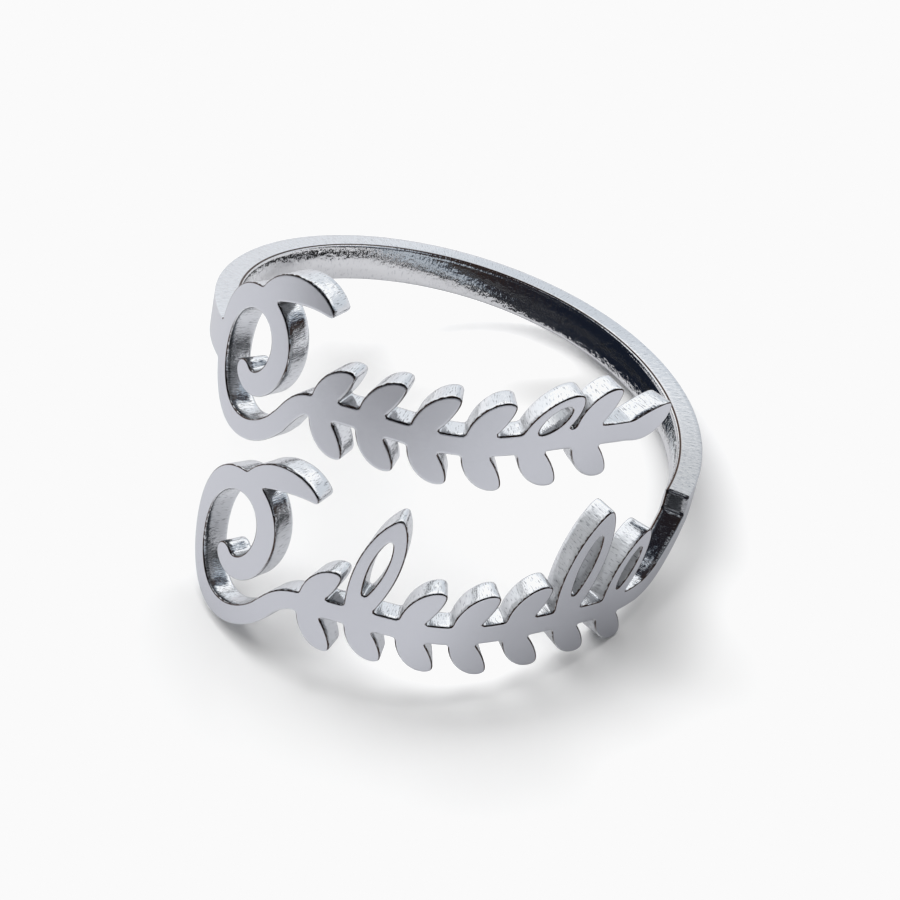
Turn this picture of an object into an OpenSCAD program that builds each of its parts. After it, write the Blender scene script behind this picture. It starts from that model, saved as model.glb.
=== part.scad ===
// Open wrap ring cut from one flat strip and rolled round a finger.
// The strip is a branch row, a plain band and a second branch row, wound like one and a third turns of a spring.
// It lies as it comes to rest on a table, on the lower row's fiddlehead and a leaf, and on the back of the band.

/* [Hoop] */
// inside diameter of the finger hole, mm
inner_d = 18; // [17:0.25:19.5]
// thickness of the strip, mm
sheet_t = 1.12; // [0.9:0.02:1.3]
// width of the plain band along the finger, mm
band_w = 1.65; // [1.4:0.05:2]
// how far the strip climbs along the finger in one turn, mm
rise = 6.75; // [6.4:0.05:7.5]

/* [Ornament] */
// width of the branches' stems, mm
stem_w = 0.84; // [0.7:0.02:0.95]
// length of a small leaf, mm
leaf_len = 1.98; // [1.6:0.02:2.1]
// greatest width of a small leaf, mm
leaf_w = 1.06; // [0.8:0.02:1.1]
// angle between a small leaf and its stem, degrees
leaf_fan = 54; // [46:1:60]
// length of the two tall pierced leaves, mm
tall_len = 4.65; // [4:0.05:5]
// width of the slots cut through the pierced leaves, mm
slot_w = 0.58; // [0.4:0.02:0.6]

/* [Hidden] */
r_in = inner_d / 2;
r_out = r_in + sheet_t;
// the strokes are drawn through a thicker wall, and the tube trims them to the sheet
r_cut_in = r_in - 0.35;
r_cut_out = r_out + 0.35;
// angle round the finger where a row's own x = 0 sits; the lower row is one turn earlier
row_start = 200;
upper = 0;
lower = -360;
// angle round the finger of the band's square end
band_end = 343;

// pierced leaves that replace a small upper leaf: x of the foot, length, width, angle
upper_pierced = [[15.15, 2.35, 1.3, 46]];
lower_pierced = [[10.25, tall_len, 1.64, 76], [18.25, tall_len, 1.64, 76], [20.4, 3.1, 1.5, 62]];

// a point of the flat strip: x mm along the outer face from a row's start, y mm above the band's top edge
function wrap(p, r, turn) =
    let (a = row_start + turn + p.x / r_out * 180 / PI)
    [r * cos(a), r * sin(a), p.y + rise * (a - 90) / 360];

function polar(b, len, a) = b + len * [cos(a), sin(a)];
function mix3(w, t) = w[0] * (1 - t) * (1 - t) + 2 * w[1] * t * (1 - t) + w[2] * t * t;
function bez(c, t) =
    c[0] * pow(1 - t, 3) + 3 * c[1] * t * pow(1 - t, 2) + 3 * c[2] * t * t * (1 - t) + c[3] * pow(t, 3);

// stations of a pen stroke: [point, width] along a Bezier with handles c
function pen(c, w, n) = [for (i = [0 : n]) [bez(c, i / n), mix3(w, i / n)]];

// a leaf from b to tip, bowed sideways; w = widths at the foot, the belly and the point
function leaf(b, tip, bow, w, n = 8) =
    let (d = tip - b, s = bow * [d.y, -d.x], belly = 2 * w[1] - (w[0] + w[2]) / 2)
    pen([b, b + 0.35 * d + s, b + 0.75 * d + s, tip], [w[0], belly, w[2]], n);

// a fiddlehead: an ellipse wound inwards by f = 1 - 0.7 t^1.2, leaning by lean * y
function fiddle(c, r, lean, w, n) =
    [for (i = [0 : n])
        let (t = i / n, f = 1 - 0.7 * pow(t, 1.2), a = -38 - 432 * t, y = r.y * f * sin(a))
        [c + [r.x * f * cos(a) + lean * y, y], mix3(w, t)]];

function heading(s, i) =
    let (d = s[min(i + 1, len(s) - 1)][0] - s[max(i - 1, 0)][0])
    d / norm(d);
function headed(s) = [for (i = [0 : len(s) - 1]) [s[i][0], s[i][1], heading(s, i)]];

// rounds both ends: stations past each end whose widths close like a circle
function capped(s) =
    let (h = headed(s), a0 = h[0], a1 = h[len(h) - 1])
    concat(
        [for (a = [80, 52, 26]) [a0[0] - a0[2] * a0[1] / 2 * sin(a), a0[1] * cos(a), a0[2]]],
        h,
        [for (a = [26, 52, 80]) [a1[0] + a1[2] * a1[1] / 2 * sin(a), a1[1] * cos(a), a1[2]]]
    );

// a closed solid between two radii: four corners at each station, walls along the surface normal
module solid(q, turn) {
    m = len(q) - 1;
    edge = [for (k = q) let (n = [-k[2].y, k[2].x] * k[1] / 2) [k[0] + n, k[0] - n]];
    pts = [for (e = edge) each [
        wrap(e[0], r_cut_out, turn),
        wrap(e[1], r_cut_out, turn),
        wrap(e[1], r_cut_in, turn),
        wrap(e[0], r_cut_in, turn)
    ]];
    sides = [for (i = [0 : m - 1]) for (k = [0 : 3])
        let (a = 4 * i + k, b = 4 * i + (k + 1) % 4)
        each [[a, b + 4, b], [a, a + 4, b + 4]]];
    z = 4 * m;
    ends = [[0, 1, 2], [0, 2, 3], [z, z + 2, z + 1], [z, z + 3, z + 2]];
    polyhedron(points = pts, faces = concat(sides, ends), convexity = 6);
}

module stroke(s, turn) {
    solid(capped(s), turn);
}

// centre line of a branch's stem from g, gently waved
function stem_y(x, g) = g.y + 0.14 * sin((x - g.x) * 45);

// a stem from g to x1 with leaves in pairs; bare = pairs whose upper leaf is left out
module branch(g, x1, pitch, pairs, bare, turn) {
    n = 28;
    stroke([for (i = [0 : n]) let (x = g.x + (x1 - g.x) * i / n) [[x, stem_y(x, g)], stem_w]], turn);
    for (k = [0 : pairs - 1], s = [-1, 1])
        if (s < 0 || len(search(k, bare)) == 0) {
            x = g.x + 0.35 + k * pitch;
            b = [x, stem_y(x, g)];
            stroke(leaf(b, polar(b, leaf_len, s * leaf_fan), -0.1 * s, [0.5, leaf_w, 0.4]), turn);
        }
}

module pierced_leaf(t, y, turn) {
    b = [t[0], y];
    stroke(leaf(b, polar(b, t[1], t[3]), 0, [0.6, t[2], 0.4], 14), turn);
}

module slot(t, y, turn) {
    b = [t[0], y];
    stroke(leaf(polar(b, 0.28 * t[1], t[3]), polar(b, 0.8 * t[1], t[3]), 0, [0.2, slot_w, 0.2], 8), turn);
}

// the plain band under the rows' zero line, cut square at both ends
module band() {
    n = 44;
    x0 = (band_end - 360 - row_start) / 180 * PI * r_out;
    solid(headed([for (i = [0 : n]) [[x0 + (1 - x0) * i / n, -band_w / 2], band_w]]), upper);
}

module upper_row() {
    stroke(fiddle([3.75, -0.15], [2.85, 3.35], 0.14, [stem_w, 1.1, 0.96], 42), upper);
    stroke(leaf([3.85, 2.2], [7.3, 2.85], -0.25, [0.5, 1.1, 0.36]), upper);
    stroke(pen([[5.71, -2.21], [6.1, -1.73], [6.45, -1.01], [7, -0.95]], [1, 1, 1] * stem_w, 6), upper);
    branch([7, -0.95], 19.4, 1.95, 6, [4], upper);
    stroke(leaf([19.3, -0.98], [20.85, -0.5], 0.12, [stem_w, 1.12, 0.4]), upper);
    for (t = upper_pierced)
        pierced_leaf(t, -0.95, upper);
}

module lower_row() {
    stroke(fiddle([4.35, -1.2], [3.1, 3.75], 0.16, [stem_w, 1.12, 0.98], 44), lower);
    stroke(leaf([4.55, 1.4], [8, 2.1], -0.22, [0.5, 1.08, 0.36]), lower);
    stroke(pen([[6.42, -3.51], [6.85, -2.98], [7.25, -2.57], [7.9, -2.5]], [1, 1, 1] * stem_w, 6), lower);
    branch([7.9, -2.5], 22.2, 2, 7, [1, 5, 6], lower);
    for (t = lower_pierced)
        pierced_leaf(t, -2.5, lower);
    // the tail that climbs from the stem to the band's end
    stroke(pen([[22.2, -2.64], [23.5, -2.6], [24.2, -1.5], [26.2, -1.02]], [stem_w, 0.92, 0.86], 10), lower);
}

// the three touching points of the ring lying on a table, in the frame of the finger's axis
last_foot = [20.25, stem_y(20.25, [7.9, -2.5])];
touch = [
    wrap([3.38, -5.15], r_in, lower),
    wrap(polar(last_foot, leaf_len, -leaf_fan) + [0.06, -0.19], r_in, lower),
    wrap([-156.5 / 180 * PI * r_out, -band_w], r_out, upper)
];
up_raw = cross(touch[1] - touch[0], touch[2] - touch[0]);
up = up_raw / norm(up_raw);
tip_x = atan(up.y / up.z);
tip_y = atan(-up.x / norm([up.y, up.z]));

// middle of the lying ring's outline seen from above, measured from the finger axis where the rows cross it
middle = [-0.152, -1.179];

module lain() {
    translate([-middle.x, -middle.y, -up * touch[0]])
        rotate([tip_x, tip_y, 0])
            children();
}

module ring() {
    color([0.75, 0.76, 0.78])
        lain()
            intersection() {
                difference() {
                    union() {
                        band();
                        upper_row();
                        lower_row();
                    }
                    for (t = upper_pierced)
                        slot(t, -0.95, upper);
                    for (t = lower_pierced)
                        slot(t, -2.5, lower);
                }
                difference() {
                    translate([0, 0, -20])
                        cylinder(r = r_out, h = 40, $fn = 180);
                    translate([0, 0, -21])
                        cylinder(r = r_in, h = 42, $fn = 180);
                }
            }
}

ring();
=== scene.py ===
import math

import bpy
import numpy as np
from mathutils import Matrix
from mathutils.geometry import delaunay_2d_cdt


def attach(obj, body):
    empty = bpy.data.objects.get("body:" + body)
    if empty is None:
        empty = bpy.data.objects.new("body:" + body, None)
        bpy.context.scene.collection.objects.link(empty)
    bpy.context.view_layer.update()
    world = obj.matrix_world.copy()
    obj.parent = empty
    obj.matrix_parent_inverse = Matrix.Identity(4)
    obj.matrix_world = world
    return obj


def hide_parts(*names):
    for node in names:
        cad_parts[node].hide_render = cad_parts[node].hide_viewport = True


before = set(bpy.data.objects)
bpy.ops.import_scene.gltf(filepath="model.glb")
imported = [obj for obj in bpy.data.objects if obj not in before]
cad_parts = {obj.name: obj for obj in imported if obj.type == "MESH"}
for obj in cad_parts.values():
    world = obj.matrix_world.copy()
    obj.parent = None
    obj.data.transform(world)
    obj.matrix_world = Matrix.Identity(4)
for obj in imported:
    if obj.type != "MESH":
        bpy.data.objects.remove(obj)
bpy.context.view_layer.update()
print("frame loaded")

mm = 0.001

# sizes of the strip in mm and degrees, as in the solid, then those of the softened edges and of the mesh
ring = {
    "innerDiameter": 18.0,
    "thickness": 1.12,
    "bandWidth": 1.65,
    "rise": 6.75,             # climb along the finger in one turn
    "rowStart": 200.0,        # angle where a row's own x = 0 sits
    "bandEnd": 343.0,         # angle of the band's square end
    "bandStart": 1.0,         # x of the band's other end, under the upper row
    "tip": (-18.32593, 10.39650),         # angles about x and y by which the lying ring leans
    "place": (0.152, 1.179, 5.83373),     # where the middle of its turns then lies
    "stemWidth": 0.84,
    "wave": (0.14, 45.0),     # height of a stem's wave, and its degrees in a mm
    "leafLength": 1.98,
    "leafWidth": 1.06,
    "leafEnds": (0.5, 0.4),   # widths at a small leaf's foot and point
    "leafFan": 54.0,
    "leafBow": 0.1,
    "firstLeaf": 0.35,        # from the stem's start
    "tallLeaf": 4.65,
    "tallEnds": (0.6, 0.4),
    "slotWidth": 0.58,
    "slotEnds": (0.2, 0.2),
    "slotSpan": (0.28, 0.8),  # where a slot begins and ends, as shares of its leaf
    "curlWind": (-38.0, 432.0),   # where a fiddlehead begins, and how far it winds
    "curlIn": (0.7, 1.2),     # share by which it winds inwards, and the power that delays it
    "crotchFillet": 0.07,     # small fillets that the cutting beam leaves between strokes
    "bandCorner": 0.06,       # radius of the corners of the band's ends
    "outerEdge": 0.055,       # radius of the softened outer edge
    "innerEdge": 0.12,        # radius of the softened inner edge
    "crown": 0.1,             # how far the bore falls away towards its edges
    "crownWidth": 0.8,
    "plainSpan": (-40.3, 0.8),    # x between which the strip counts as band and not as row
    "fieldSpan": ((-64.6, 22.4), (-7.0, 4.8)),
    "fieldStep": 0.04,        # grid on which the outline is worked out
    "strokeReach": 1.6,       # how far from a stroke its field is worked out
    "slotReach": 1.0,
    "outlineStep": 0.088,     # spacing of the points along the outline
    "wallSteps": 5,           # rows of faces on the straight part of a wall
    "rimStep": 0.06,          # width of the flat rows of faces at its edges
    "rimRows": (1, 3),        # rows of its faces that take the finish of the face and of the bore
    "fillStep": (0.3, 0.2),   # spacing of the points inside the faces
    "fillMargin": 0.23,       # how far from the outline they begin
}
rOut = ring["innerDiameter"] / 2 + ring["thickness"]

# the two rows in mm and degrees on the unrolled outer face, from each row's own start. The curl: middle,
# half extents, lean, widths. A leaf: foot, tip, bow, widths. Link and tail: handles of a stroke. The stem:
# start and last x. Leaves in pairs: spacing, number, and the pairs without an upper leaf. Pierced leaves:
# x of the foot, length, width, angle.
stem, tall = ring["stemWidth"], ring["tallLeaf"]
upperRow = {
    "curl": ((3.75, -0.15), (2.85, 3.35), 0.14, (stem, 1.1, 0.96)),
    "curlLeaf": ((3.85, 2.2), (7.3, 2.85), -0.25, (0.5, 1.1, 0.36)),
    "link": ((5.71, -2.21), (6.1, -1.73), (6.45, -1.01), (7, -0.95)),
    "stem": ((7, -0.95), 19.4),
    "pairs": (1.95, 6, (4,)),
    "lastLeaf": ((19.3, -0.98), (20.85, -0.5), 0.12, (stem, 1.12, 0.4)),
    "pierced": [(15.15, 2.35, 1.3, 46)],
}
lowerRow = {
    "curl": ((4.35, -1.2), (3.1, 3.75), 0.16, (stem, 1.12, 0.98)),
    "curlLeaf": ((4.55, 1.4), (8, 2.1), -0.22, (0.5, 1.08, 0.36)),
    "link": ((6.42, -3.51), (6.85, -2.98), (7.25, -2.57), (7.9, -2.5)),
    "stem": ((7.9, -2.5), 22.2),
    "pairs": (2, 7, (1, 5, 6)),
    "tail": ((22.2, -2.64), (23.5, -2.6), (24.2, -1.5), (26.2, -1.02)),
    "tailWidths": (stem, 0.92, 0.86),
    "pierced": [(10.25, tall, 1.64, 76), (18.25, tall, 1.64, 76), (20.4, 3.1, 1.5, 62)],
}


# a point at distance far from p at an angle in degrees
def polar(p, far, angle):
    return (p[0] + far * math.cos(math.radians(angle)), p[1] + far * math.sin(math.radians(angle)))


# a width that runs through three values: w0 s^2 + 2 w1 s t + w2 t^2, with s = 1 - t
def widths(w, t):
    s = 1 - t
    return w[0] * s * s + 2 * w[1] * s * t + w[2] * t * t


# stations (x, y, width) of a pen stroke: a cubic Bezier with handles c
def pen(c, w, n=24):
    t = np.linspace(0, 1, n + 1)
    s = 1 - t
    basis = np.stack([s ** 3, 3 * s * s * t, 3 * s * t * t, t ** 3], 1)
    return np.column_stack([basis @ np.array(c, float), widths(w, t)])


# a leaf from its foot to its tip: a stroke whose handles, at 0.35 and 0.75 of its length, are bowed
# sideways; w = widths at the foot, the belly and the point
def leaf(foot, tip, bow, w, n=24):
    foot, tip = np.array(foot), np.array(tip)
    d = tip - foot
    side = bow * np.array([d[1], -d[0]])
    belly = 2 * w[1] - (w[0] + w[2]) / 2
    return pen([foot, foot + 0.35 * d + side, foot + 0.75 * d + side, tip], [w[0], belly, w[2]], n)


# a fiddlehead: an ellipse wound inwards by the factor 1 - share t^power, leaning by lean * y
def fiddle(c, r, lean, w, n=150):
    t = np.linspace(0, 1, n + 1)
    begin, sweep = ring["curlWind"]
    share, power = ring["curlIn"]
    f = 1 - share * t ** power
    a = np.radians(begin - sweep * t)
    y = r[1] * f * np.sin(a)
    return np.column_stack([c[0] + r[0] * f * np.cos(a) + lean * y, c[1] + y, widths(w, t)])


# height of a branch's gently waved stem: a sine that begins with the stem
def stemHeight(x, start):
    height, pace = ring["wave"]
    return start[1] + height * np.sin(np.radians((x - start[0]) * pace))


# a stem with leaves in pairs, evenly spaced; bare = pairs whose upper leaf is left out
def branch(start, end, pitch, pairs, bare, n=80):
    x = np.linspace(start[0], end, n)
    out = [np.column_stack([x, stemHeight(x, start), np.full(n, ring["stemWidth"])])]
    foot, point = ring["leafEnds"]
    for k in range(pairs):
        at = start[0] + ring["firstLeaf"] + k * pitch
        root = (at, stemHeight(at, start))
        for side in (-1, 1):
            if side < 0 or k not in bare:
                tip = polar(root, ring["leafLength"], side * ring["leafFan"])
                out.append(leaf(root, tip, -ring["leafBow"] * side, [foot, ring["leafWidth"], point]))
    return out


# a tall leaf from its root, and the slot cut through its middle
def piercedLeaf(root, length, width, angle):
    start, end = (polar(root, share * length, angle) for share in ring["slotSpan"])
    near, far = ring["slotEnds"]
    slot = leaf(start, end, 0, [near, ring["slotWidth"], far])
    foot, point = ring["tallEnds"]
    return leaf(root, polar(root, length, angle), 0, [foot, width, point], 36), slot


# all strokes of a row, and the slots of its pierced leaves
def rowStrokes(row):
    start, end = row["stem"]
    pierced = [piercedLeaf((x, start[1]), *sizes) for x, *sizes in row["pierced"]]
    strokes = [
        fiddle(*row["curl"]),
        leaf(*row["curlLeaf"]),
        pen(row["link"], [ring["stemWidth"]] * 3),
        *branch(start, end, *row["pairs"]),
        leaf(*row["lastLeaf"]) if "lastLeaf" in row else pen(row["tail"], row["tailWidths"]),
    ]
    return strokes + [whole for whole, slot in pierced], [slot for whole, slot in pierced]


# strokes and slots of both rows; the lower row is one turn earlier
def stripStrokes():
    turn = np.array([-2 * math.pi * rOut, 0, 0])
    (upper, upperSlots), (lower, lowerSlots) = rowStrokes(upperRow), rowStrokes(lowerRow)
    return upper + [s + turn for s in lower], upperSlots + [s + turn for s in lowerSlots]


# distance from points (n, 2) to a chain of round dabs of changing width: the least distance to a segment,
# less the half width at the nearest place on it
def strokeDistance(p, s):
    a, b = s[:-1, :2], s[1:, :2]
    d = b - a
    t = np.einsum("nsk,sk->ns", p[:, None] - a, d) / np.maximum((d * d).sum(1), 1e-12)
    t = np.clip(t, 0, 1)
    away = np.linalg.norm(p[:, None] - a - t[..., None] * d, axis=2)
    return (away - (s[:-1, 2] + t * (s[1:, 2] - s[:-1, 2])) / 2).min(1)


# least of two fields with a fillet of size k where they meet: a blend by the share h, less k h (1 - h)
def filletUnion(a, b, k):
    h = np.clip(0.5 + 0.5 * (b - a) / k, 0, 1)
    return b + (a - b) * h - k * h * (1 - h)


# signed distance to the strip's outline over a grid of the unrolled face, negative inside the metal
def stripField():
    x, y = (np.arange(*span, ring["fieldStep"]) for span in ring["fieldSpan"])
    grid = np.stack(np.meshgrid(x, y, indexing="ij"), -1)

    # the part of the grid within reach of a stroke, and its distances to the stroke
    def near(s, reach):
        low, high = s[:, :2].min(0) - reach, s[:, :2].max(0) + reach
        where = tuple(slice(*np.searchsorted(v, [low[k], high[k]])) for k, v in enumerate((x, y)))
        p = grid[where]
        return where, strokeDistance(p.reshape(-1, 2), s).reshape(p.shape[:2])

    # the band: distance to a box with slightly rounded corners
    start = math.radians(ring["bandEnd"] - 360 - ring["rowStart"]) * rOut
    end, width, corner = ring["bandStart"], ring["bandWidth"], ring["bandCorner"]
    middle, half = np.array([(start + end) / 2, -width / 2]), np.array([(end - start) / 2, width / 2])
    q = np.abs(grid - middle) - half + corner
    field = np.linalg.norm(np.maximum(q, 0), axis=2) + np.minimum(q.max(2), 0) - corner

    strokes, slots = stripStrokes()
    for s in strokes:
        where, d = near(s, ring["strokeReach"])
        field[where] = filletUnion(field[where], d, ring["crotchFillet"])
    for s in slots:
        where, d = near(s, ring["slotReach"])
        field[where] = np.maximum(field[where], -d)
    return x, y, field


# the zero line of a field as closed loops, metal on the left: marching squares give each crossing its
# follower, and pointer doubling ranks the crossings along their loop
def outlineLoops(x, y, field):
    nx, ny = field.shape
    inside = field < 0
    code = inside[:-1, :-1] + 2 * inside[1:, :-1] + 4 * inside[1:, 1:] + 8 * inside[:-1, 1:]
    i, j = np.meshgrid(np.arange(nx - 1), np.arange(ny - 1), indexing="ij")
    across, along = i * ny + j, nx * ny + i * ny + j
    # crossings on the bottom, right, top and left side of each cell
    sides = np.stack([across, along + ny, across + 1, along], -1)
    first = np.array([-1, 0, 1, 1, 2, 0, 2, 2, 3, 0, 1, 1, 3, 0, 3, -1])
    last = np.array([-1, 3, 0, 3, 1, 3, 0, 3, 2, 2, 0, 2, 1, 1, 0, -1])
    cut = first[code] >= 0
    saddle = (code == 5) | (code == 10)

    def pick(where, side):
        return np.take_along_axis(sides[where], side[where][:, None], 1)[:, 0]

    begin = np.concatenate([pick(cut, first[code]), pick(saddle, np.where(code == 5, 2, 3))])
    end = np.concatenate([pick(cut, last[code]), pick(saddle, np.where(code == 5, 1, 2))])

    names = np.sort(begin)
    follower = np.searchsorted(names, end)[np.argsort(begin)]
    n = len(names)
    head, jump = np.arange(n), follower.copy()
    rounds = int(math.ceil(math.log2(n))) + 1
    for _ in range(rounds):
        head = np.minimum(head, head[jump])
        jump = jump[jump]
    stop = np.arange(n) == head
    rank = np.where(stop, 0, 1)
    jump = np.where(stop, np.arange(n), follower)
    for _ in range(rounds):
        rank = rank + rank[jump]
        jump = jump[jump]

    # where each crossing lies on its grid edge
    upright = names >= nx * ny
    cell = names - upright * nx * ny
    ci, cj = cell // ny, cell % ny
    di, dj = np.where(upright, 0, 1), np.where(upright, 1, 0)
    f0, f1 = field[ci, cj], field[ci + di, cj + dj]
    t = f0 / (f0 - f1)
    step = x[1] - x[0]
    points = np.stack([x[ci] + di * t * step, y[cj] + dj * t * step], 1)
    return [points[head == h][np.argsort(-rank[head == h])] for h in np.unique(head)]


# a loop at even spacing, its grid noise smoothed away by a short running mean of weights 1, 2 and 1
def evenLoop(p, spacing, rounds=3, fewest=12):
    for _ in range(rounds):
        p = (np.roll(p, 1, 0) + 2 * p + np.roll(p, -1, 0)) / 4
    closed = np.vstack([p, p[:1]])
    far = np.concatenate([[0], np.cumsum(np.linalg.norm(np.diff(closed, axis=0), axis=1))])
    n = max(fewest, int(round(far[-1] / spacing)))
    at = np.linspace(0, far[-1], n, endpoint=False)
    return np.stack([np.interp(at, far, closed[:, k]) for k in (0, 1)], 1), at, far[-1]


# the wall's cross-section from the outer face to the bore, as inset from the outline and depth below the
# face: a flat step, a quarter round, the straight wall, a quarter round and a step into the bore
def wallProfile():
    e, b, rim = ring["outerEdge"], ring["innerEdge"], ring["rimStep"]
    deep = ring["thickness"] - ring["crown"]
    turn = np.radians([30, 60, 90])
    wall = np.linspace(e, deep - b, ring["wallSteps"] + 1)[1:]
    outer = [(e + rim, 0), (e, 0), *zip(e * (1 - np.sin(turn)), e * (1 - np.cos(turn)))]
    inner = [*zip(b * (1 - np.cos(turn)), deep - b + b * np.sin(turn))]
    last = [(b + rim, boreDepth(b + rim))]
    return np.array(outer + [(0, d) for d in wall] + inner + last)


# depth of the bore's surface at an inset from the outline: it falls away towards its edges like a parabola
def boreDepth(inset):
    q = np.clip(1 - (inset - ring["innerEdge"]) / ring["crownWidth"], 0, 1)
    return ring["thickness"] - ring["crown"] * q * q


# a point of the unrolled strip at a depth below the outer face, rolled and laid down: the angle grows with
# x, the height with y and with the angle
def rolled(p, depth):
    a = math.radians(ring["rowStart"]) + p[:, 0] / rOut
    r = rOut - depth
    z = p[:, 1] + ring["rise"] * (np.degrees(a) - 90) / 360
    tipX, tipY = (math.radians(t) for t in ring["tip"])
    tipped = Matrix.Rotation(tipY, 3, "Y") @ Matrix.Rotation(tipX, 3, "X")
    return (np.stack([r * np.cos(a), r * np.sin(a), z], 1) @ np.array(tipped).T + ring["place"]) * mm


# value of the field at points, from the four grid values round each
def fieldAt(x, y, field, p):
    u = (p[:, 0] - x[0]) / (x[1] - x[0])
    v = (p[:, 1] - y[0]) / (y[1] - y[0])
    i, j = u.astype(int), v.astype(int)
    s, t = u - i, v - j
    low = field[i, j] * (1 - s) + field[i + 1, j] * s
    high = field[i, j + 1] * (1 - s) + field[i + 1, j + 1] * s
    return low * (1 - t) + high * t


# walls: the profile carried along every loop, one ring of points for each of its stations, as places on
# the strip, outline normals, rim edges, faces, their uv (mm along outline and profile) and their finishes
def carryWalls(loops, profile):
    rings, total = len(profile), sum(len(p) for p, _, _ in loops)
    run = np.concatenate([[0], np.cumsum(np.linalg.norm(np.diff(profile, axis=0), axis=1))])
    k = np.arange(rings - 1)[:, None]
    front, back = ring["rimRows"]
    finishes = np.where(k[:, 0] < front, 0, np.where(k[:, 0] < rings - 1 - back, 1, 2))
    flat, outward, edges, faces, uvs, slots = [], [], [], [], [], []
    base = 0
    for p, at, length in loops:
        n = len(p)
        d = np.roll(p, -1, 0) - np.roll(p, 1, 0)
        out = np.stack([d[:, 1], -d[:, 0]], 1) / np.linalg.norm(d, axis=1)[:, None]
        flat.append(p[None] - profile[:, 0][:, None, None] * out[None])
        outward.append(out)
        i = np.arange(n)
        j = (i + 1) % n
        edges.append(np.stack([base + i, base + j], 1))
        a, b = k * total + base + i, k * total + base + j
        faces.append(np.stack([a, a + total, b + total, b], -1).reshape(-1, 4))
        s0 = at[None].repeat(rings - 1, 0)
        s1 = np.append(at[1:], length)[None].repeat(rings - 1, 0)
        v0, v1 = run[:-1, None].repeat(n, 1), run[1:, None].repeat(n, 1)
        corners = np.stack([np.stack(c, -1) for c in ((s0, v0), (s0, v1), (s1, v1), (s1, v0))], -2)
        uvs.append(corners.reshape(-1, 2))
        slots.append(np.repeat(finishes, n))
        base += n
    return np.concatenate(flat, 1), *(np.concatenate(v) for v in (outward, edges, faces, uvs, slots))


# points inside the faces, joined to the walls' rim by one triangulation; a triangle with all its corners on
# one slot's rim lies in the slot and is left out
def fillFaces(x, y, field, loops, rim, edges):
    stepX, stepY = ring["fillStep"]
    px, py = np.meshgrid(np.arange(x[1], x[-2], stepX), np.arange(y[1], y[-2], stepY))
    inner = np.stack([px.ravel(), py.ravel()], 1)
    inner = inner[fieldAt(x, y, field, inner) < -ring["fillMargin"]]
    plan = np.vstack([rim, inner])
    found = delaunay_2d_cdt([tuple(q) for q in plan.tolist()], edges.tolist(), [], 1, 1e-9)
    tri = np.array([o[0] for o in found[3]])[np.array(found[2])]
    owner = np.full(len(plan), -1)
    owner[:len(rim)] = np.repeat(np.arange(len(loops)), [len(p) for p, _, _ in loops])
    largest = max(range(len(loops)), key=lambda k: loops[k][2])
    same = (owner[tri] == owner[tri[:, :1]]).all(1)
    return inner, plan, tri[~(same & (owner[tri[:, 0]] >= 0) & (owner[tri[:, 0]] != largest))]


# the whole ring: outline, walls, and a face and a bore that share one triangulation
def buildRing():
    x, y, field = stripField()
    loops = [evenLoop(p, ring["outlineStep"]) for p in outlineLoops(x, y, field)]
    profile = wallProfile()
    rings, total = len(profile), sum(len(p) for p, _, _ in loops)
    print("outline:", len(loops), "loops,", total, "points")
    flat, outward, edges, walls, wallUv, wallSlots = carryWalls(loops, profile)
    inner, plan, tri = fillFaces(x, y, field, loops, flat[0], edges)

    # places of all vertices: the walls' rings, then the points inside the face and those inside the bore
    depth = profile[:, 1][:, None] + np.zeros(total)
    bore = boreDepth(-fieldAt(x, y, field, inner))
    points = (flat.reshape(-1, 2), depth.ravel()), (inner, 0 * bore), (inner, bore)
    places = np.vstack([rolled(p, deep) for p, deep in points])
    toFace, toBore, count = (rings - 1) * total, (rings - 1) * total + len(inner), len(tri)
    front = np.where(tri < total, tri, tri + toFace)
    back = np.where(tri < total, tri + toFace, tri + toBore)[:, ::-1]
    faces = walls.tolist() + front.tolist() + back.tolist()
    backPlan = np.vstack([flat[-1], inner])[tri][:, ::-1]
    uv = np.vstack([wallUv, plan[tri].reshape(-1, 2), backPlan.reshape(-1, 2)])
    slots = np.concatenate([wallSlots, np.zeros(count), np.full(count, 2)])

    mesh = bpy.data.meshes.new("wrapRing")
    mesh.from_pydata(places.tolist(), [], faces)
    mesh.uv_layers.new(name="stripMm").data.foreach_set("uv", uv.astype(np.float32).ravel())
    # which way the outline faces, and whether it belongs to a row and not to the band or its end
    along = np.concatenate([p[:, 0] for p, _, _ in loops])
    onRow = (along < ring["plainSpan"][0]) | (along > ring["plainSpan"][1])
    facing = np.zeros((len(places), 3), np.float32)
    facing[:rings * total] = np.tile(np.column_stack([outward, onRow]), (rings, 1))
    layer = mesh.attributes.new("facing", "FLOAT_VECTOR", "POINT")
    layer.data.foreach_set("vector", facing.ravel())
    mesh.polygons.foreach_set("material_index", slots.astype(np.int32))
    mesh.polygons.foreach_set("use_smooth", np.ones(len(faces), bool))
    mesh.update()
    piece = bpy.data.objects.new("wrapRing", mesh)
    bpy.context.scene.collection.objects.link(piece)
    print("ring:", sum(len(f) - 2 for f in faces), "triangles")
    return piece


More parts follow.
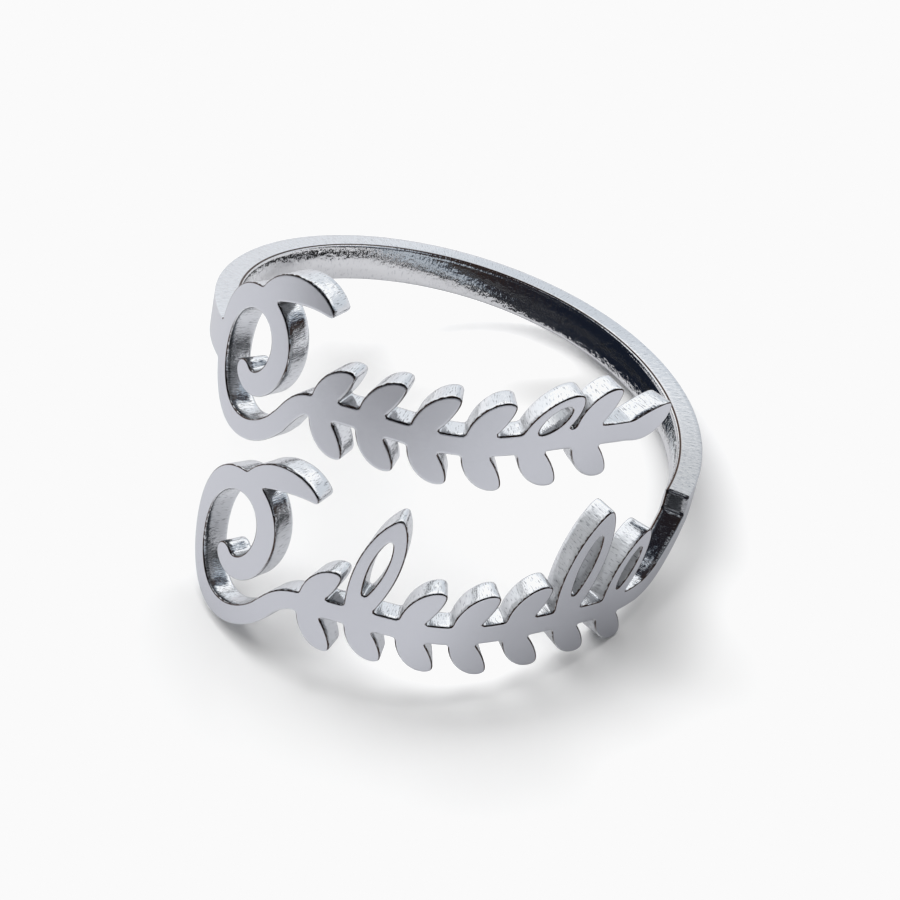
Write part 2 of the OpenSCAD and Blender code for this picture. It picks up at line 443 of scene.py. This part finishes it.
# the three finishes of the silver: colour on the ridges and in the grooves of the grain, darker in the
# grooves as painted shade, the heights between which a groove ends, roughness in the grooves and on the
# ridges, depth of the grain in mm, how many lines lie in a mm, how fast they end along their run, how much
# broader grain is in them, and echo, which is how much of the colour is left where the silver mirrors this
# finish, a painted darkening of its reflections
silver = {
    "face": {
        "ridge": (0.83, 0.845, 0.895), "shadedGroove": (0.82, 0.835, 0.885), "cut": (0.38, 0.62),
        "roughness": (0.25, 0.24), "grain": 0.0001, "lines": 5.0, "run": 9.0, "broad": 0.3, "echo": 0.12,
    },
    "wall": {
        "ridge": (0.95, 0.97, 1.0), "shadedGroove": (0.74, 0.77, 0.82), "cut": (0.2, 0.44),
        "roughness": (0.2, 0.1), "grain": 0.0065, "lines": 18.0, "run": 3.0, "broad": 1.4, "echo": 0.4,
    },
    "bore": {
        "ridge": (0.92, 0.925, 0.935), "shadedGroove": (0.7, 0.71, 0.74), "cut": (0.24, 0.42),
        "roughness": (0.08, 0.04), "grain": 0.012, "lines": 10.0, "run": 4.0, "broad": 1.4, "echo": 0.1,
    },
}

# the noise behind the grain: its detail, how rough the fine and the broad lines are, and the pace of the
# broad lines as a share of the fine ones'
grain = {"detail": 2.0, "fine": 0.6, "broad": 0.5, "broadPace": (0.27, 0.8, 1.0)}

# the polished bore opens towards its upper edge, and most so beside the band's square end: degrees, and the
# place and distances along the strip in mm; there it also runs straighter by a turn that grows over a length
lean = {"least": 0.0, "most": 18.0, "place": -30.5, "reach": (6.0, 18.0)}
straight = {"turn": 16.0, "from": -24.0, "over": 8.0}

# a thin dark rim of painted shade, which stands for the dark that the edges mirror, at the outer edge of the
# rows' walls and at the inner edge of the band's, both left out where a wall faces down; then dark specks,
# painted shade in the pits of the grain; frost that the cutting beam leaves on the rows' flanks that face
# left; and the band's walls darker towards its square end, as painted shade
flank = {
    # the colour of the rims' painted shade
    "paintedDarkRim": (0.085, 0.055, 0.045),
    "outerRim": (0.1, 0.14),      # where the rims end and begin, in mm along the wall
    "innerRim": (0.955, 0.985),
    "wobble": 0.09,
    "rimFacing": (-0.7, -0.2),    # how far down the outline faces where the rims set in
    # the specks are painted shade in the pits of the grain
    "speck": (0.28, 0.41),        # heights of the fine grain between which a speck ends
    "speckOnBand": 0.1,           # share of the tone that a speck takes away
    "speckOnRow": 0.42,
    "frostFacing": (-0.35, -0.85),
    "metalInFrost": 0.5,
    # the share of the tone below is painted shade at the band's square end
    "endShade": 0.34,                 # share of the tone that is missing at the band's square end
    "endShadeAcross": (0, 4),         # where that sets in, in mm to the viewer's right
    "endShadeAlong": (7, -1.5),       # and in mm away from the viewer
}


# adds nodes to a tree and joins their sockets by name or number
class Graph:
    def __init__(self, tree):
        self.tree = tree

    def add(self, kind, values=None, links=None, **settings):
        node = self.tree.nodes.new(kind)
        for name, value in settings.items():
            setattr(node, name, value)
        for name, value in (values or {}).items():
            node.inputs[name].default_value = value
        for name, source in (links or {}).items():
            self.join(source, node.inputs[name])
        return node

    def join(self, source, socket):
        self.tree.links.new(source, socket)

    # a sum or another operation on two values, each a number or a socket
    def maths(self, operation, a, b=None):
        node = self.add("ShaderNodeMath", operation=operation)
        for k, value in enumerate((a, b)):
            if isinstance(value, (int, float)):
                node.inputs[k].default_value = value
            elif value is not None:
                self.join(value, node.inputs[k])
        return node.outputs[0]

    def product(self, first, *others):
        for value in others:
            first = self.maths("MULTIPLY", first, value)
        return first

    def less(self, value):
        return self.maths("SUBTRACT", 1.0, value)

    # an operation on two vectors, the second one a socket or three numbers
    def vector(self, operation, a, b):
        values, links = ({1: b}, {0: a}) if isinstance(b, tuple) else ({}, {0: a, 1: b})
        return self.add("ShaderNodeVectorMath", values, links, operation=operation).outputs["Vector"]

    def distance(self, a, place=(0, 0, 0)):
        return self.add("ShaderNodeVectorMath", {1: place}, {0: a}, operation="DISTANCE").outputs["Value"]

    # a colour made brighter or darker by a factor
    def scaled(self, colour, factor):
        links = {0: colour, "Scale": factor}
        return self.add("ShaderNodeVectorMath", links=links, operation="SCALE").outputs["Vector"]

    def axes(self, vector):
        return self.add("ShaderNodeSeparateXYZ", links={0: vector}).outputs

    # carries a value over from the range start to end into the range low to high, evenly
    def ramp(self, value, low, high, start=0.0, end=1.0, **settings):
        ranges = {"From Min": start, "From Max": end, "To Min": low, "To Max": high}
        return self.add("ShaderNodeMapRange", ranges, {"Value": value}, **settings).outputs[0]

    # the same with soft ends, and into 0 to 1 unless it is told otherwise
    def fade(self, value, start, end, low=0.0, high=1.0):
        return self.ramp(value, low, high, start, end, interpolation_type="SMOOTHSTEP")

    # a blend of two colours, each three numbers or a socket
    def blend(self, share, first, second):
        node = self.add("ShaderNodeMix", links={0: share}, data_type="RGBA")
        for k, colour in ((6, first), (7, second)):
            if isinstance(colour, tuple):
                node.inputs[k].default_value = (*colour, 1)
            else:
                self.join(colour, node.inputs[k])
        return node.outputs[2]


# an empty group with its named inputs and outputs
def newGroup(name, inputs, outputs):
    tree = bpy.data.node_groups.new(name, "ShaderNodeTree")
    for label, kind in inputs:
        tree.interface.new_socket(label, in_out="INPUT", socket_type=kind)
    for label in outputs:
        tree.interface.new_socket(label, in_out="OUTPUT", socket_type="NodeSocketFloat")
    g = Graph(tree)
    return g, g.add("NodeGroupInput").outputs, g.add("NodeGroupOutput").inputs


# scratches that run one way: noise stretched along the second coordinate, fine lines over broader ones
def scratchGroup():
    g, read, give = newGroup("scratches", [
        ("Place", "NodeSocketVector"), ("Lines per mm", "NodeSocketFloat"),
        ("Run per mm", "NodeSocketFloat"), ("Broad", "NodeSocketFloat"),
    ], ["Height", "Fine"])

    def noise(place, roughness):
        values = {"Scale": 1.0, "Detail": grain["detail"], "Roughness": roughness}
        return g.add("ShaderNodeTexNoise", values, {"Vector": place}, noise_dimensions="2D").outputs[0]

    paces = {"X": read["Lines per mm"], "Y": read["Run per mm"]}
    pace = g.add("ShaderNodeCombineXYZ", {"Z": 1.0}, paces).outputs[0]
    place = g.vector("MULTIPLY", read["Place"], pace)
    fine = noise(place, grain["fine"])
    broad = noise(g.vector("MULTIPLY", place, grain["broadPace"]), grain["broad"])
    swell = g.product(g.maths("SUBTRACT", broad, 0.5), read["Broad"])
    g.join(g.maths("ADD", fine, swell), give["Height"])
    g.join(fine, give["Fine"])
    return g.tree


# one finish of the silver; its parts are handed on for what the wall and the bore add to it
def finish(name, look, scratches):
    material = bpy.data.materials.new(name)
    material.use_nodes = True
    g = Graph(material.node_tree)
    shader = g.tree.nodes["Principled BSDF"]
    shader.inputs["Metallic"].default_value = 1.0
    place = g.add("ShaderNodeUVMap", uv_map="stripMm").outputs[0]
    paces = {"Lines per mm": look["lines"], "Run per mm": look["run"], "Broad": look["broad"]}
    worn = g.add("ShaderNodeGroup", paces, {"Place": place}, node_tree=scratches)
    # painted shade: the grain's grooves take the darker colour; painted reflection: mirrored silver is
    # dimmed by echo
    ridge = g.fade(worn.outputs["Fine"], *look["cut"])
    mirrored = g.add("ShaderNodeLightPath").outputs["Is Glossy Ray"]
    colour = g.scaled(g.blend(ridge, look["shadedGroove"], look["ridge"]), g.ramp(mirrored, 1.0, look["echo"]))
    g.join(colour, shader.inputs["Base Color"])
    g.join(g.ramp(ridge, *look["roughness"]), shader.inputs["Roughness"])
    depth = {"Strength": 1.0, "Distance": look["grain"] * mm}
    bump = g.add("ShaderNodeBump", depth, {"Height": worn.outputs["Height"]})
    g.join(bump.outputs[0], shader.inputs["Normal"])
    parts = {"graph": g, "shader": shader, "place": place, "worn": worn, "colour": colour, "bump": bump}
    return material, parts


# tilts the bore's normals by the lean, with a height that falls along the strip's width, and by the turn
def leanBore(parts):
    g = parts["graph"]
    axes = g.axes(parts["place"])
    away = g.maths("ABSOLUTE", g.maths("SUBTRACT", axes["X"], lean["place"]))
    angle = g.fade(away, *lean["reach"], lean["most"], lean["least"])
    slope = g.product(g.maths("RADIANS", angle), axes["Y"], -1.0)
    # the turn sets in over a length and then stays: its height is first a parabola and then a line
    past = g.maths("DIVIDE", g.maths("SUBTRACT", straight["from"], axes["X"]), straight["over"])
    u = g.maths("MAXIMUM", past, 0.0)
    m = g.maths("MINIMUM", u, 1.0)
    rising = g.product(m, g.maths("SUBTRACT", u, g.product(m, 0.5)))
    turned = g.product(rising, -math.radians(straight["turn"]) * straight["over"])
    height = g.maths("ADD", slope, turned)
    tilt = g.add("ShaderNodeBump", {"Strength": 1.0, "Distance": mm}, {"Height": height})
    g.join(tilt.outputs[0], parts["bump"].inputs["Normal"])


# the walls' painted dark rims, specks of painted shade, frost and painted shade towards the band's end
def shadeAndFrostFlanks(parts):
    g, shader = parts["graph"], parts["shader"]
    along = g.axes(parts["place"])["Y"]
    facing = g.axes(g.add("ShaderNodeAttribute", attribute_name="facing").outputs["Vector"])
    row = facing["Z"]
    band = g.less(row)
    height, fine = (parts["worn"].outputs[label] for label in ("Height", "Fine"))

    # the rims: painted shade along the walls' upper edges, left out where a wall faces down
    swell = g.product(g.maths("SUBTRACT", height, 0.5), flank["wobble"])
    outer = g.product(g.less(g.fade(g.maths("SUBTRACT", along, swell), *flank["outerRim"])), row)
    inner = g.product(g.fade(along, *flank["innerRim"]), band)
    rim = g.product(g.maths("ADD", outer, inner), g.fade(facing["Y"], *flank["rimFacing"]))
    # the specks: painted shade in the pits of the grain, deeper on the rows
    depth = g.ramp(row, flank["speckOnBand"], flank["speckOnRow"])
    speck = g.product(g.less(g.fade(fine, *flank["speck"])), depth)
    # painted shade that darkens the band's walls towards its square end
    spot = g.axes(g.add("ShaderNodeTexCoord").outputs["Object"])
    across, down = ([v * mm for v in flank[label]] for label in ("endShadeAcross", "endShadeAlong"))
    endShade = g.product(g.fade(spot["X"], *across), g.fade(spot["Y"], *down), flank["endShade"], band)
    # the colour takes the specks' and the end's painted shade, then the rims' painted dark
    dotted = g.scaled(parts["colour"], g.product(g.less(speck), g.less(endShade)))
    g.join(g.blend(rim, dotted, flank["paintedDarkRim"]), shader.inputs["Base Color"])
    frost = g.product(g.fade(facing["X"], *flank["frostFacing"]), row)
    g.join(g.ramp(frost, 1.0, flank["metalInFrost"]), shader.inputs["Metallic"])


piece = buildRing()
scratches = scratchGroup()
for name, look, extra in (
    ("satinSilver", "face", None),
    ("cutSilver", "wall", shadeAndFrostFlanks),
    ("polishedSilver", "bore", leanBore),
):
    material, parts = finish(name, silver[look], scratches)
    if extra:
        extra(parts)
    piece.data.materials.append(material)
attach(piece, "root")
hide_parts("ring")
print("ring finished")


studio = {
    "floorRadius": 0.9,
    "floorCorners": 96,
    # tones of the paper: as it is seen, and, as painted reflections, as the silver mirrors it near the ring,
    # in a dimmer spot of painted shadow and painted dark far away; where the spot lies and how it fades, how
    # far out the far tone sets in and how far back it ends, in mm; and how much bluer the mirrored paper is
    "paper": {
        "seen": 0.9, "near": 0.58, "spot": 0.41, "far": 0.025, "spotPlace": (10, -11), "spotReach": (4, 15),
        "farReach": (80, 115), "farBack": (15, 45), "blue": 1.03, "roughness": 0.9,
    },
    # soft patches of painted light and painted shadow, where the paper is lighter or darker than the lamps
    # make
    # it: middle and half extents in mm, and the light that they add
    "patches": [
        ((-2.2, 8.9), (5.6, 4.3), 0.42),
        ((2.0, 8.5), (4.0, 2.6), 0.35),
        ((0.5, -9.1), (6.6, 2.9), 0.42),
        ((9.6, -11.6), (6.6, 3.6), 0.07),
        ((8.8, -5.8), (3.0, 4.2), -0.15),
        ((3.7, 5.6), (4.0, 1.7), -0.2),
    ],
    "patchCore": 0.15,        # share of a patch that is even
    # round lamps high behind the ring's left and right, in m, which the silver doesn't mirror
    "keys": [
        {"place": (-0.46, 0.34, 0.82), "size": 0.8, "watts": 5.8},
        {"place": (0.16, 0.40, 0.90), "size": 0.7, "watts": 4.6},
    ],
    "ambient": 0.37,
    "backdrop": 0.956,
    "white": 0.956,           # the brightest tone that the picture keeps apart
    # soft cards in the sky that the silver mirrors: azimuth, half its width, elevation, half its height,
    # soft edge, all in degrees, and brightness
    "cards": [
        (90, 70, 14, 25, 12, 0.66),
        (66, 44, 28, 10, 8, 1.0),
        (128, 32, 30, 16, 8, 1.0),
        (125, 42, 10, 12, 8, 0.8),
        (153, 13, 16, 22, 8, 0.65),
        (5, 28, 34, 16, 10, 0.45),
        (-60, 30, 4, 12, 8, 0.5),
        (145, 30, 54, 14, 8, 0.9),
        (0, 400, 90, 6, 4, 0.8),
    ],
    # powers that make the dim parts of the cards bluish, the colours of the dark room to the left and to the
    # right, and the directions' x between which one goes over into the other
    "tint": (1.18, 1.06, 0.93),
    "dark": {"left": (0.008, 0.011, 0.02), "right": (0.032, 0.021, 0.017), "over": (-0.4, 0.4)},
}

# where the camera stands, in mm from the ring's middle on the floor, its angles in degrees, lens and sensor
# in mm, and the nearest and farthest that it sees in m
camera = {
    "place": (11.135, -55.240, 64.743), "lookDown": 48.002, "heading": 11.758, "roll": -3.52,
    "lens": 82.9, "sensor": 36, "clip": (0.002, 10),
}


# what the patches add to the paper's light: each one's share falls softly with the distance from its middle,
# counted in its half extents
def patchLight(g, where):
    out = None
    for (x, y), (halfX, halfY), light in studio["patches"]:
        fromMiddle = g.vector("SUBTRACT", where, (x * mm, y * mm, 0))
        away = g.distance(g.vector("DIVIDE", fromMiddle, (halfX * mm, halfY * mm, 1)))
        patch = g.fade(away, studio["patchCore"], 1.0, light, 0.0)
        out = patch if out is None else g.maths("ADD", out, patch)
    return out


# the paper, which the silver mirrors in other tones than the camera sees, tones that are painted reflections
def finishPaper():
    tones = studio["paper"]
    paper = bpy.data.materials.new("paper")
    paper.use_nodes = True
    paper.cycles.emission_sampling = "NONE"
    g = Graph(paper.node_tree)
    shader = g.tree.nodes["Principled BSDF"]
    where = g.add("ShaderNodeTexCoord").outputs["Object"]
    ray = g.add("ShaderNodeLightPath").outputs

    def fadeMm(value, start, end):
        return g.fade(value, start * mm, end * mm)

    # painted reflection: the mirrored paper is dimmer in a spot of painted shadow, and dark far away
    spotX, spotY = tones["spotPlace"]
    fromSpot = g.distance(where, (spotX * mm, spotY * mm, 0))
    near = g.ramp(fadeMm(fromSpot, *tones["spotReach"]), tones["spot"], tones["near"])
    notBack = g.less(fadeMm(g.axes(where)["Y"], *tones["farBack"]))
    far = g.product(fadeMm(g.distance(where), *tones["farReach"]), notBack)
    mirrored = g.maths("ADD", near, g.product(far, g.maths("SUBTRACT", tones["far"], near)))
    bluish = {"X": mirrored, "Y": mirrored, "Z": g.product(mirrored, tones["blue"])}
    tint = g.add("ShaderNodeCombineXYZ", links=bluish).outputs[0]
    # the patches' painted light glows where the camera sees it; their painted shadow darkens the paper's
    # colour
    extra = patchLight(g, where)
    seen = g.maths("ADD", g.maths("MINIMUM", extra, 0.0), tones["seen"])
    glow = g.product(g.maths("MAXIMUM", extra, 0.0), ray["Is Camera Ray"])
    g.join(g.blend(ray["Is Glossy Ray"], seen, tint), shader.inputs["Base Color"])
    g.join(glow, shader.inputs["Emission Strength"])
    shader.inputs["Emission Color"].default_value = (1, 1, 1, 1)
    shader.inputs["Roughness"].default_value = tones["roughness"]
    shader.inputs["Specular IOR Level"].default_value = 0.0
    return paper


# a round sheet of paper under the ring
def layFloor():
    n = studio["floorCorners"]
    a = np.linspace(0, 2 * np.pi, n, endpoint=False)
    corners = np.stack([np.cos(a), np.sin(a), 0 * a], 1) * studio["floorRadius"]
    mesh = bpy.data.meshes.new("floor")
    mesh.from_pydata(corners.tolist(), [], [list(range(n))])
    mesh.materials.append(finishPaper())
    floor = bpy.data.objects.new("floor", mesh)
    bpy.context.scene.collection.objects.link(floor)


# how much of a soft card covers a direction of the sky: 1 inside, 0 outside
def cardGroup():
    labels = ("Azimuth", "Elevation", "Middle", "Half width", "Height", "Half height", "Edge")
    g, read, give = newGroup("softCard", [(label, "NodeSocketFloat") for label in labels], ["Mask"])

    def cover(away, half):
        room = g.maths("DIVIDE", g.maths("SUBTRACT", half, g.maths("ABSOLUTE", away)), read["Edge"])
        return g.fade(room, -0.5, 0.5)

    aside = g.maths("SUBTRACT", read["Azimuth"], read["Middle"])
    turn = g.add("ShaderNodeMath", {1: 180.0, 2: -180.0}, {0: aside}, operation="WRAP")
    sideways = cover(turn.outputs[0], read["Half width"])
    upwards = cover(g.maths("SUBTRACT", read["Elevation"], read["Height"]), read["Half height"])
    g.join(g.product(sideways, upwards), give["Mask"])
    return g.tree


# round lamps, turned so that they point at the ring
def hangKeys():
    for key in studio["keys"]:
        lamp = bpy.data.lights.new("key", "AREA")
        lamp.shape = "DISK"
        lamp.size = key["size"]
        lamp.energy = key["watts"]
        light = bpy.data.objects.new("key", lamp)
        back = np.array(key["place"]) / np.linalg.norm(key["place"])
        right = np.cross((0, 0, 1), back)
        right /= np.linalg.norm(right)
        turn = Matrix(np.stack([right, np.cross(back, right), back], 1).tolist())
        light.matrix_world = Matrix.Translation(key["place"]) @ turn.to_4x4()
        light.visible_glossy = False
        bpy.context.scene.collection.objects.link(light)


# the sky: the silver mirrors cards in a dark room, the paper gets even light, the camera sees the backdrop
def paintSky():
    world = bpy.data.worlds.new("studio")
    world.use_nodes = True
    bpy.context.scene.world = world
    g = Graph(world.node_tree)
    axes = g.axes(g.add("ShaderNodeTexCoord").outputs["Generated"])
    azimuth = g.maths("DEGREES", g.maths("ARCTAN2", axes["Y"], axes["X"]))
    elevation = g.maths("DEGREES", g.maths("ARCSINE", axes["Z"]))
    softCard = cardGroup()
    light = None
    for *shape, bright in studio["cards"]:
        values = dict(zip(("Middle", "Half width", "Height", "Half height", "Edge"), shape))
        links = {"Azimuth": azimuth, "Elevation": elevation}
        card = g.add("ShaderNodeGroup", values, links, node_tree=softCard)
        part = g.product(card.outputs["Mask"], bright)
        light = part if light is None else g.maths("MAXIMUM", light, part)
    dark = studio["dark"]
    room = g.blend(g.ramp(axes["X"], 0.0, 1.0, *dark["over"]), dark["left"], dark["right"])
    bluish = {axis: g.maths("POWER", light, power) for axis, power in zip("XYZ", studio["tint"])}
    mirrored = g.vector("MAXIMUM", g.add("ShaderNodeCombineXYZ", links=bluish).outputs[0], room)
    ray = g.add("ShaderNodeLightPath").outputs
    even = g.blend(ray["Is Camera Ray"], (studio["ambient"],) * 3, (studio["backdrop"],) * 3)
    sky = g.blend(ray["Is Glossy Ray"], even, mirrored)
    g.join(sky, g.tree.nodes["Background"].inputs["Color"])


# the photo's camera: turned by its roll, tipped up from looking straight down, then turned to its heading
def placeCamera():
    data = bpy.data.cameras.new("photo")
    data.lens = camera["lens"]
    data.sensor_width = camera["sensor"]
    data.clip_start, data.clip_end = camera["clip"]
    eye = bpy.data.objects.new("photo", data)
    turn = Matrix.Rotation(math.radians(camera["heading"]), 4, "Z") \
        @ Matrix.Rotation(math.radians(90 - camera["lookDown"]), 4, "X") \
        @ Matrix.Rotation(math.radians(camera["roll"]), 4, "Z")
    eye.matrix_world = Matrix.Translation(np.array(camera["place"]) * mm) @ turn
    bpy.context.scene.collection.objects.link(eye)
    bpy.context.scene.camera = eye


# plain tones that end at the paper's white, a little short of the brightest
def setTones():
    view = bpy.context.scene.view_settings
    view.view_transform = "Standard"
    view.use_curve_mapping = True
    view.curve_mapping.extend = "HORIZONTAL"
    view.curve_mapping.curves[3].points[1].location = (studio["white"], studio["white"])
    view.curve_mapping.update()


layFloor()
hangKeys()
paintSky()
placeCamera()
setTones()
print("studio ready")
